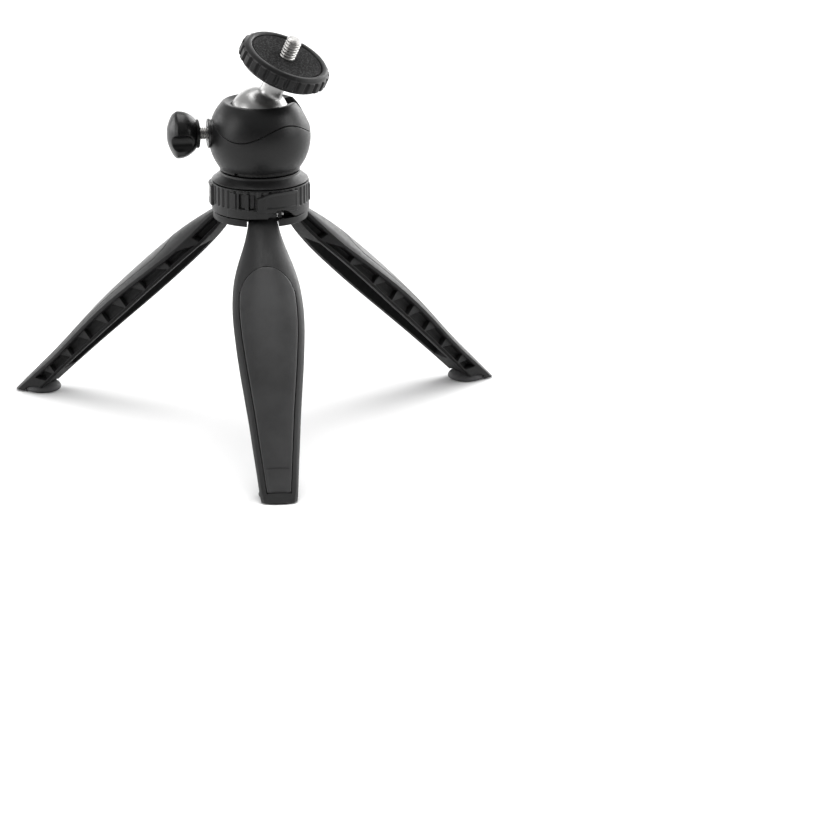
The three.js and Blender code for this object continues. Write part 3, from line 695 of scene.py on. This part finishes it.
foot_profile = dense(filleted([(0, 0.25), (3.2, 0.25), (3.6, 0.0, 0.2), (6.5, 0, 0.5), (7.5, 0.5, 0.5), (7.85, 1.3, 0.6), (7.5, 2.05), (7.1, 2.65, 0.5),
                               (5.3, 3.75, 1.0), (3.0, 4.15), (3.0, 5.6, 0.3), (0, 5.6)]), 0.5)
pin_profile = filleted([(0, -PIN_HALF), (PIN_R, -PIN_HALF, 0.3), (PIN_R, PIN_HALF, 0.3), (0, PIN_HALF)])
leg_mesh, panel_mesh = make_leg().data, make_panel().data
for ob in [o for o in bpy.data.objects if o.name in ("leg", "panel")]:
    bpy.data.objects.remove(ob)
for label, az in LEGS:
    for kind, src, skin, slot in (("leg_", leg_mesh, LEG_SKIN, "leg_plastic"), ("leg_panel_", panel_mesh, PANEL_SKIN, "leg_panel_plastic")):
        ob = bpy.data.objects.new("part", src.copy())
        bpy.context.scene.collection.objects.link(ob)
        finished(ob, "look_" + kind + label, skin, "leg_" + label, [kind + label], leg_matrix(az), sharp=32, bake=True)
    ob = revolve("part", foot_profile, 96)
    finished(ob, "look_foot_" + label, FOOT_SKIN, "leg_" + label, ["foot_" + label],
             TO_FRAME @ rot_z(az) @ Matrix.Translation((0, -FOOT_R, 0)), sharp=40)
    ob = revolve("part", pin_profile, 40)
    finished(ob, "look_hinge_pin_" + label, PIN_SKIN, "base", ["hinge_pin_" + label],
             TO_FRAME @ rot_z(az) @ Matrix.Translation((0, -HINGE_R, HINGE_Z)) @ Matrix.Rotation(PI / 2, 4, "Y"))

# ------------------------------------------------------------------ hub
hub = revolve("part", dense(filleted([(0, 99.8), (3.5, 99.8), (3.5, HUB_Z1), (HUB_R - 0.1, HUB_Z1, 0.4), (HUB_R, HUB_FLANGE_Z, 0.4), (HUB_FLANGE_R, HUB_FLANGE_Z, 0.45),
                                      (HUB_FLANGE_R, HUB_Z0 + 0.1, 0.5), (5.9, HUB_Z0, 0.3), (5.9, 99.8)][1:]), 2.0), 144, closed=True)
tools = []
for _, az in LEGS:
    slot_tool = box(-SLOT_HW, SLOT_HW, -40, -9.2, 80, 95.9)
    tools.append(placed(slot_tool, rot_z(az)))
    bore = revolve("tool", [(0, -20), (PIN_R + 0.25, -20), (PIN_R + 0.25, 20), (0, 20)], 40)
    tools.append(placed(bore, rot_z(az) @ Matrix.Translation((0, -HINGE_R, HINGE_Z)) @ Matrix.Rotation(PI / 2, 4, "Y")))
    for side in (-1, 1):
        x0, x1 = sorted((side * 7.7, side * 25.0))
        tools.append(placed(box(x0, x1, -16.3, -10.7, 90.03, 94.5), rot_z(az)))
combine(hub, tools)
finished(hub, "look_base_hub", HUB_SKIN, "base", ["base_hub"], TO_FRAME, sharp=34)

# ------------------------------------------------------------------ lock ring
WAVE = [[-8, 99.3], [-3, 99.9], [3, 100.7], [11, 101.55], [20, 101.8], [33, 101.6], [50, 101.3]]
ARCH = [[5.5, 90.8], [10, 92.2], [14, 93.7], [18, 94.2], [25, 94.2], [30, 93.4], [36, 92.1], [42, 90.4]]


def band(a, a0, a1, w=0.9):
    return step(a0 - w / 2, a0 + w / 2, a) * (1 - step(a1 - w / 2, a1 + w / 2, a))


def ring_radius(r, z, a):
    outer = r > 19.0
    out = np.full(r.shape, RING_R)
    local = (a + 60) % 120 - 60
    local = np.where(local > 60, local - 120, local)
    tooth = (a % (360 / 42))
    tooth = np.minimum(tooth, 360 / 42 - tooth)
    ribs = step(94.0, 94.5, z) * (1 - step(101.6, 102.0, z))
    out -= 0.55 * np.clip(1.15 - tooth / 2.1, 0, 1) * ribs
    lug = np.maximum(band(local, -41.3, -32.8), band(local, -21.3, -16.4)) * band(z, 94.2, 101.0, 0.35)
    out += (20.45 - out) * lug
    rec = np.maximum(band(local, -28.9, -21.3), band(local, -16.4, -10.5)) * band(z, 94.6, 100.8, 0.35)
    out += (18.75 - out) * rec
    top = np.interp(local, [p[0] for p in WAVE], [p[1] for p in WAVE])
    wave = band(local, -7, 44, 1.1) * step(92.9, 93.4, z) * (1 - step(top - 0.2, top + 0.15, z))
    out += (20.92 - out) * wave
    # a fine lip along the wave's crest
    out += 0.16 * band(local, -5.5, 42.5, 1.1) * np.exp(-((z - (top - 0.42)) / 0.24) ** 2)
    # a shallow pressed field inside the wave panel
    field = band(local, 4, 41, 1.6) * step(95.0, 95.5, z) * (1 - step(top - 1.3, top - 0.9, z))
    out -= 0.14 * field
    ease = np.minimum(1, np.minimum(z - RING_Z0, RING_Z1 - z) / 0.4)
    out -= 0.4 * (1 - np.sqrt(np.maximum(0, 1 - (1 - np.clip(ease, 0, 1)) ** 2)))
    return np.where(outer, out, r)


zs = np.concatenate([RING_Z0 + np.array([0.0, 0.03, 0.1, 0.2, 0.32]), np.arange(RING_Z0 + 0.5, RING_Z1 - 0.4, 0.2), RING_Z1 - np.array([0.32, 0.2, 0.1, 0.03, 0.0])])
ring_profile = [(RING_IN, RING_Z1 - 0.2), (RING_IN + 0.2, RING_Z1), (18.6, RING_Z1)] + [(19.9, float(z)) for z in zs[::-1]] + [(18.6, RING_Z0), (RING_IN + 0.2, RING_Z0), (RING_IN, RING_Z0 + 0.2)]
ring = revolve("part", ring_profile, 900, ring_radius, closed=True)


def sector_tool(r0, r1, a0, a1, z0, table, n=36):
    rows = []
    for a in np.linspace(a0, a1, n):
        top = float(np.interp(a, [p[0] for p in table], [p[1] for p in table]))
        x, y = math.sin(a * D), -math.cos(a * D)
        rows.append([[r0 * x, r0 * y, z0], [r1 * x, r1 * y, z0], [r1 * x, r1 * y, top], [r0 * x, r0 * y, top]])
    return loft("tool", np.array(rows))


fine_arch = eased(ARCH, 1.6)
fine_table = [[a, float(fine_arch(a)) if 8 < a < 39 else float(np.interp(a, [p[0] for p in ARCH], [p[1] for p in ARCH]))] for a in np.linspace(5.5, 42, 40)]
combine(ring, [placed(sector_tool(15, 24, 5.5, 42, 85, fine_table), rot_z(az)) for _, az in LEGS])
finished(ring, "look_lock_ring", RING_SKIN, "ring", ["lock_ring"], TO_FRAME, sharp=38)

# ------------------------------------------------------------------ collar
cap_profile = filleted([(3.5, 102.65), (19.3, 102.65, 0.15), (19.7, 102.95, 0.25), (19.55, 103.15), (16.75, 105.3, 0.4), (16.3, 105.75, 0.2), (16.3, 106.5, 0.2), (13.6, 106.5, 0.2),
                        (13.6, 105.5, 0.1), (3.5, 105.5)])
cap = revolve("part", dense(cap_profile, 1.0), 192, closed=True)
finished(cap, "look_collar_cap", RING_SKIN, "base", ["collar_cap"], TO_FRAME, sharp=30)

# ------------------------------------------------------------------ round housing, two shells
SEG = 288
ANG = np.arange(SEG) * 2 * PI / SEG


def shell_radius(z):
    z = np.asarray(z, float)
    r = np.sqrt(np.maximum(0, HEAD_R ** 2 - (z - HEAD_C) ** 2))
    r = np.where(z < 108.2, np.interp(z, [107.0, 107.12, 107.4, 108.2], [16.0, 16.25, 16.42, 16.62]), r)
    return r


def seam(a):
    return SEAM_Z + SEAM_A * np.sin(3 * (a / D - SEAM_PHASE) * D)


def shell(lower):
    """Rows of points per azimuth round a closed profile that ends on the wavy parting line."""
    z_s = seam(ANG)
    rows = []
    if lower:
        base = 107.0
        lip = z_s - 0.02
        rows.append((np.full(SEG, 3.5), np.full(SEG, base)))
        rows.append((np.full(SEG, 12.0), np.full(SEG, base)))
        ts = np.concatenate([[0, 0.004, 0.012, 0.03], np.linspace(0.06, 0.975, 30), [0.985, 0.992]])
        for t in ts:
            z = base + (lip - 0.18 - base) * t
            rows.append((shell_radius(z), z))
        for q in (0.15, 0.45, 0.75, 1.0):
            z = lip - 0.18 * (1 - math.sin(q * PI / 2))
            rows.append((shell_radius(lip) - 0.18 * (1 - math.cos(q * PI / 2)), z))
        rows.append((np.full(SEG, 16.0), lip))
        rows.append((np.full(SEG, BORE_R), lip))
        rows.append((np.full(SEG, BORE_R), np.full(SEG, 113.6)))
        rows.append((np.full(SEG, 3.5), np.full(SEG, 113.6)))
    else:
        lip = z_s + 0.30
        top = 134.65
        rows.append((np.full(SEG, BORE_R), lip))
        rows.append((np.full(SEG, 16.0), lip))
        for q in (1.0, 0.75, 0.45, 0.15):
            z = lip + 0.18 * (1 - math.sin(q * PI / 2))
            rows.append((shell_radius(lip) - 0.18 * (1 - math.cos(q * PI / 2)), z))
        ts = np.concatenate([[0.008, 0.02], np.linspace(0.045, 1.0, 26)])
        for t in ts:
            z = (lip + 0.18) + (top - 0.35 - lip - 0.18) * t
            rows.append((shell_radius(z), z))
        edge = filleted([(float(shell_radius(top - 0.35)), top - 0.35), (15.15, 134.98, 0.25), (14.6, 135.2, 0.25), (14.0, 135.25, 0.3), (11.85, 134.46, 0.2), (11.62, 134.2)], 4)[1:]
        for r, z in dense(edge, 0.4):
            rows.append((np.full(SEG, r), np.full(SEG, z)))
        for r, z in arc(CAVITY_R, BALL_Z, BALL_Z + 0.2, 134.1, 12)[::-1]:
            rows.append((np.full(SEG, r), np.full(SEG, z)))
        rows.append((np.full(SEG, BORE_R), np.full(SEG, BALL_Z + 0.2)))
    r = np.array([x[0] for x in rows])
    z = np.array([x[1] for x in rows])
    v = np.stack([r * np.sin(ANG), -r * np.cos(ANG), z], -1)
    n, m = r.shape
    idx = np.arange(n * m).reshape(n, m)
    b = np.roll(idx, -1, 0)
    faces = np.stack([idx, np.roll(idx, -1, 1), np.roll(b, -1, 1), b], -1).reshape(-1, 4).tolist()
    return raw("part", v.reshape(-1, 3), faces)


def knob_bore(r, z0, z1, seg=64):
    return placed(revolve("tool", [(0, z0), (r, z0), (r, z1), (0, z1)], seg), TO_FRAME.inverted() @ KNOB_M)


def notch_tool():
    pts = [(NOTCH_W / 2 * math.cos(a), 129.6 + NOTCH_W / 2 * math.sin(a)) for a in np.linspace(-PI, 0, 25)]
    pts += [(NOTCH_W / 2, 150), (-NOTCH_W / 2, 150)]
    rows = np.array([[[x, y, z] for x, z in pts] for y in (-40.0, -8.0)])
    return placed(loft("tool", rows), rot_z(NOTCH_AZ))


lower, upper = shell(True), shell(False)
combine(lower, [knob_bore(2.9, 9, 40), knob_bore(6.15, 16.9, 40), placed(box(-1.2, 1.2, -30, -15.0, 100, 108.3), rot_z(-38))])
combine(upper, [knob_bore(2.9, 9, 40), knob_bore(6.15, 16.9, 40), notch_tool()])
finished(lower, "look_lower_shell", SHELL_SKIN, "head", ["lower_shell"], TO_FRAME, sharp=40)
finished(upper, "look_upper_shell", SHELL_SKIN, "head", ["upper_shell"], TO_FRAME, sharp=40)

# ------------------------------------------------------------------ clamp boss, screw and knob
boss = revolve("part", dense(filleted([(2.9, 17.2), (5.85, 17.2), (5.85, 19.7, 0.15), (5.6, 19.9), (5.6, 20.15), (6.05, 20.35, 0.15), (6.05, 21.3, 0.3), (5.2, 21.5, 0.2), (4.9, 21.3), (3.3, 21.3, 0.2), (2.9, 20.9)]), 0.6), 96, closed=True)
finished(boss, "look_screw_boss", BOSS_SKIN, "head", ["screw_boss"], KNOB_M, sharp=36)


def threaded(name, root, top, pitch, z0, z1, shank, tip, seg=72, lead=0.0):
    """A screw with a real helical ridge between z0 and z1; shank and tip are profiles before and after it."""
    rows = list(shank)
    n = int(round((z1 - z0) / pitch * 16))
    zz = np.linspace(z0, z1, n)
    prof = [(r, z, 0) for r, z in rows] + [(top, float(z), 1) for z in zz] + [(r, z, 0) for r, z in tip]
    flag = np.array([p[2] for p in prof])[:, None]

    def radial(r, z, a):
        f = (z / pitch - a / 360.0) % 1.0
        ridge = np.clip((0.5 - np.abs(f - 0.5)) * 2 * 1.45 - 0.16, 0, 1)
        rr = root + (top - root) * ridge
        fade = step(z0, z0 + 0.35 * pitch, z)
        rr = rr * fade + np.minimum(rr, root + 0.1) * (1 - fade)
        rr = np.minimum(rr, top - np.maximum(0, z - (z1 - 0.55 + lead)) * 0.9)
        return np.where(flag > 0, rr, r)

    return revolve(name, [(p[0], p[1]) for p in prof], seg, radial)


kscrew = threaded("part", 2.12, 2.6, 0.8, 21.0, 25.0, [(0, 15.9), (2.2, 15.9), (2.45, 16.25), (2.45, 20.6), (2.12, 20.9)], [(2.12, 25.1), (2.45, 25.4), (2.45, 31.0), (0, 31.0)])
finished(kscrew, "look_knob_screw", STEEL_SKIN, "knob", ["knob_screw"], KNOB_M, sharp=50)

knob_outline = dense(filleted([(2.75, 24.75), (5.3, 24.7, 0.15), (5.85, 24.95, 0.3), (6.0, 25.55, 0.2), (5.75, 25.75, 0.1), (5.75, 25.95, 0.1), (6.1, 26.2, 0.2), (6.6, 26.5, 0.4), (7.6, 27.6, 0.8),
                               (8.85, 29.3, 1.0), (9.5, 30.9, 1.0), (9.8, 32.5, 1.0), (9.86, 34.0, 0.8), (9.2, 34.9, 0.5), (8.2, 35.6, 0.6), (6.2, 36.6, 0.8), (4.0, 37.4, 0.8), (2.4, 37.78, 0.5), (0, 37.8)]), 0.22)


def knob_radius(r, z, a):
    out = r.copy()
    c = 10.0
    for phi in SCOOPS:
        # the knob's local X axis is azimuth 90 in the turning helper
        d = ((a - 90 - phi + 180) % 360 - 180) * D
        rho = np.interp(z, [26.4, 27.2, 28.2, 29.5, 40], [0.6, 2.3, 3.1, 3.5, 3.75])
        inside_it = rho ** 2 - (c * np.sin(d)) ** 2
        hit = c * np.cos(d) - np.sqrt(np.maximum(inside_it, 0))
        hit = np.where((inside_it > 0) & (np.abs(d) < PI / 2), hit, 99.0)
        out = np.where((r > 3.0) & (hit < 50), smooth_min(out, hit, 0.55), out)
    return out


knob = revolve("part", knob_outline, 300, knob_radius)
finished(knob, "look_knob", KNOB_SKIN, "knob", ["knob"], KNOB_M, sharp=50)

# ------------------------------------------------------------------ ball and stem
stem_profile = dense(arc(BALL_R, 0, -BALL_R, 10.8, 60) + filleted([(6.29, 10.8), (5.35, 11.5, 0.4), (4.9, 12.2, 0.4), (4.7, 13.2, 0.4), (4.75, 20.2, 0.3), (5.6, 21.0, 0.25), (5.6, 22.05, 0.15), (0, 22.1)])[1:], 0.8)
stem = revolve("part", stem_profile, 128)
finished(stem, "look_ball_stem", BALL_SKIN, "ball", ["ball_stem"], LEAN_M, sharp=40)

# ------------------------------------------------------------------ camera plate
PD0, PD1 = 22.4, 30.2


def plate_radius(r, z, a):
    period = 360 / 26
    f = (a % period) / period
    cut = np.clip(1.35 - np.minimum(f, 1 - f) / 0.20, 0, 1)
    cut = cut * cut * (3 - 2 * cut)
    zone = step(PD0 + 1.0, PD0 + 1.8, z) * (1 - step(PD1 - 1.75, PD1 - 1.35, z))
    low = 18.05
    out = np.where(r > low, r + (low - r) * cut * zone, r)
    return np.where(r > 17.2, out, r)


plate_outline = dense(filleted([(3.475, PD0 + 0.1), (16.2, PD0, 0.4), (17.0, PD0 + 0.1, 0.4), (18.3, PD0 + 1.45, 0.5), (19.0, PD0 + 1.75, 0.3), (19.0, PD1 - 1.75, 0.3), (18.2, PD1 - 1.35, 0.25),
                                (17.85, PD1 - 0.85, 0.3), (17.25, PD1 - 0.15, 0.3), (16.9, PD1, 0.2), (15.9, PD1, 0.25), (15.45, PD1 - 0.35, 0.2), (15.3, PD1 - 0.6), (15.3, 28.4), (3.475, 28.4)]), 0.45)
plate = revolve("part", plate_outline, 780, plate_radius, closed=True)
finished(plate, "look_camera_plate", PLATE_SKIN, "plate", ["camera_plate"], LEAN_M, sharp=40)


def pad_mesh():
    """Rubber disc with a flat, finely divided face; the rows of rounded grip studs are raised on it afterwards."""
    rim = filleted([(3.475, 28.7), (14.85, 28.7), (14.85, 29.6, 0.2), (14.65, 29.75)], 4)
    rr = np.concatenate([np.linspace(14.6, 3.9, 150), [3.6, 3.475]])
    prof = rim + [(float(r), 29.73) for r in rr]
    return revolve("part", prof, 320, None, closed=True)


pad = pad_mesh()
me = pad.data
co = np.zeros(len(me.vertices) * 3)
me.vertices.foreach_get("co", co)
co = co.reshape(-1, 3)
rad = np.hypot(co[:, 0], co[:, 1])
face = (co[:, 2] > 29.7) & (rad < 14.45) & (rad > 3.8)
k = 2 * PI / 0.95
u, v = (co[:, 0] + co[:, 1]) / math.sqrt(2), (co[:, 0] - co[:, 1]) / math.sqrt(2)
stud = np.maximum(0, np.sin(k * u) * np.sin(k * v)) + np.maximum(0, -np.sin(k * u) * np.sin(k * v)) * 0.45
co[:, 2] += np.where(face, 0.2 * stud - 0.06, 0)
me.vertices.foreach_set("co", co.ravel())
finished(pad, "look_plate_pad", PAD_SKIN, "plate", ["plate_pad"], LEAN_M, sharp=60)

cscrew = threaded("part", 2.68, 3.175, 1.27, 28.0, 37.75, [(0, 16.4), (2.9, 16.4), (3.05, 16.6), (3.05, 27.3), (2.6, 27.9)],
                  filleted([(2.45, 37.85), (2.2, 38.1, 0.15), (1.6, 38.2, 0.2), (0, 38.12)]), seg=96)
finished(cscrew, "look_camera_screw", STEEL_SKIN, "plate", ["camera_screw"], LEAN_M, sharp=50)

# ------------------------------------------------------------------ carried-over internal parts
for node, skin in (("head_stud", PIN_SKIN), ("friction_washer", PAD_SKIN), ("brake_shoe", INNER_SKIN), ("ball_seat", INNER_SKIN)):
    ob = frame["nodes"][node]
    ob.data.materials.clear()
    ob.data.materials.append(skin)
for node, ob in frame["nodes"].items():
    if ob.hide_render and not ob.data.materials:
        ob.data.materials.append(INNER_SKIN)

# ------------------------------------------------------------------ floor, light, camera
floor_me = bpy.data.meshes.new("floor")
floor_me.from_pydata([(-9, -9, 0), (9, -9, 0), (9, 9, 0), (-9, 9, 0)], [], [[0, 1, 2, 3]])
floor = bpy.data.objects.new("floor", floor_me)
bpy.context.scene.collection.objects.link(floor)
fs = Skin("floor_paper", Specular_IOR_Level=0.1)
fs.colour(fs.mix(fs.ramp(fs.noise(3, 3), 0.3, 0.7), (0.86, 0.86, 0.86), (0.88, 0.88, 0.88)))
fs.rough(fs.ramp(fs.noise(400, 2), 0.3, 0.7, 0.85, 0.95))
floor_me.materials.append(fs.mat)

world = bpy.data.worlds.new("world")
bpy.context.scene.world = world
world.use_nodes = True
bg = world.node_tree.nodes["Background"]
bg.inputs[1].default_value = 1.0
wt = world.node_tree
wc = wt.nodes.new("ShaderNodeTexCoord")
sep = wt.nodes.new("ShaderNodeSeparateXYZ")
wt.links.new(wc.outputs["Generated"], sep.inputs[0])


def wnode(op, a, b=None, lo=None):
    n = wt.nodes.new("ShaderNodeMapRange" if op == "RANGE" else "ShaderNodeMath")
    if op == "RANGE":
        n.interpolation_type = "SMOOTHSTEP"
        wt.links.new(a, n.inputs["Value"])
        for k, v in zip(("From Min", "From Max", "To Min", "To Max"), b):
            n.inputs[k].default_value = v
        return n.outputs[0]
    n.operation = op
    for i, v in enumerate((a, b)):
        if isinstance(v, (int, float)):
            n.inputs[i].default_value = v
        else:
            wt.links.new(v, n.inputs[i])
    return n.outputs[0]


# pale all round, with a dark card over the front as in a studio tent
behind = wnode("RANGE", sep.outputs["Y"], (-0.55, 0.45, 0.10, 1.0))
low_sky = wnode("RANGE", sep.outputs["Z"], (0.03, 0.14, 1.0, 0.0))
high_sky = wnode("RANGE", sep.outputs["Z"], (0.30, 0.75, 0.0, 0.62))
lit = wnode("MAXIMUM", wnode("MAXIMUM", behind, high_sky), wnode("MULTIPLY", low_sky, 0.55))
side = wnode("RANGE", sep.outputs["X"], (-0.9, 0.9, 0.62, 1.0))
wt.links.new(wnode("MULTIPLY", lit, side), bg.inputs[0])


def area(name, pos, target, size, power, size_y=None):
    l = bpy.data.lights.new(name, "AREA")
    l.shape = "RECTANGLE"
    l.size, l.size_y = size, size_y or size
    l.energy = power
    ob = bpy.data.objects.new(name, l)
    bpy.context.scene.collection.objects.link(ob)
    ob.location = pos
    ob.visible_camera = False
    ob.rotation_mode = "QUATERNION"
    ob.rotation_quaternion = (Vector(target) - Vector(pos)).to_track_quat("-Z", "Y")
    return ob


area("top_soft", (0.0, 0.35, 1.5), (0, 0.02, 0.05), 1.2, 16)
area("back_soft", (0.3, 1.6, 0.42), (0, 0.02, 0.06), 2.6, 11, 0.8)
area("left_soft", (-1.4, -0.35, 0.65), (0, 0.02, 0.08), 0.7, 9, 1.0)
area("right_soft", (1.45, -0.25, 0.7), (0, 0.02, 0.08), 0.7, 9, 1.0)
area("back_right", (1.2, 1.3, 0.9), (0, 0.02, 0.08), 1.0, 10, 1.0)
area("rim_right", (1.55, 1.0, 0.38), (0, 0.02, 0.06), 1.2, 9, 0.75)
area("rim_left", (-1.6, 0.95, 0.38), (0, 0.02, 0.06), 1.2, 9, 0.75)

cam_data = bpy.data.cameras.new("camera")
cam = bpy.data.objects.new("camera", cam_data)
bpy.context.scene.collection.objects.link(cam)
F_PX, PX, PY, ROLL, TH, TURN = 5064.8, 260.874, 266.049, -0.0101, 0.2713, 0.0568
CAM_H, CAM_L = 621.925, 1999.9
cd, sd = math.cos(TURN), math.sin(TURN)
right = Vector((cd, -sd, 0))
ahead = Vector((sd, cd, 0))
fwd = ahead * math.cos(TH) - Vector((0, 0, 1)) * math.sin(TH)
upv = ahead * math.sin(TH) + Vector((0, 0, 1)) * math.cos(TH)
du, dv = 412.5 - PX, 413.5 - PY
uu = du * math.cos(ROLL) + dv * math.sin(ROLL)
ww = -du * math.sin(ROLL) + dv * math.cos(ROLL)
look = (fwd * F_PX + right * uu - upv * ww).normalized()
x_axis = right * math.cos(ROLL) + upv * math.sin(ROLL)
x_axis = (x_axis - look * x_axis.dot(look)).normalized()
z_axis = -look
y_axis = z_axis.cross(x_axis)
rot = Matrix((x_axis, y_axis, z_axis)).transposed()
pos = Vector((0, AXIS_Y, 0)) - ahead * CAM_L + Vector((0, 0, CAM_H))
cam.matrix_world = Matrix.Translation(pos * MM) @ rot.to_4x4()
cam_data.sensor_width = 36
cam_data.lens = F_PX / 827 * 36
cam_data.clip_start, cam_data.clip_end = 0.01, 50
bpy.context.scene.camera = cam
bpy.context.scene.view_settings.view_transform = "Standard"
bpy.context.scene.view_settings.look = "None"
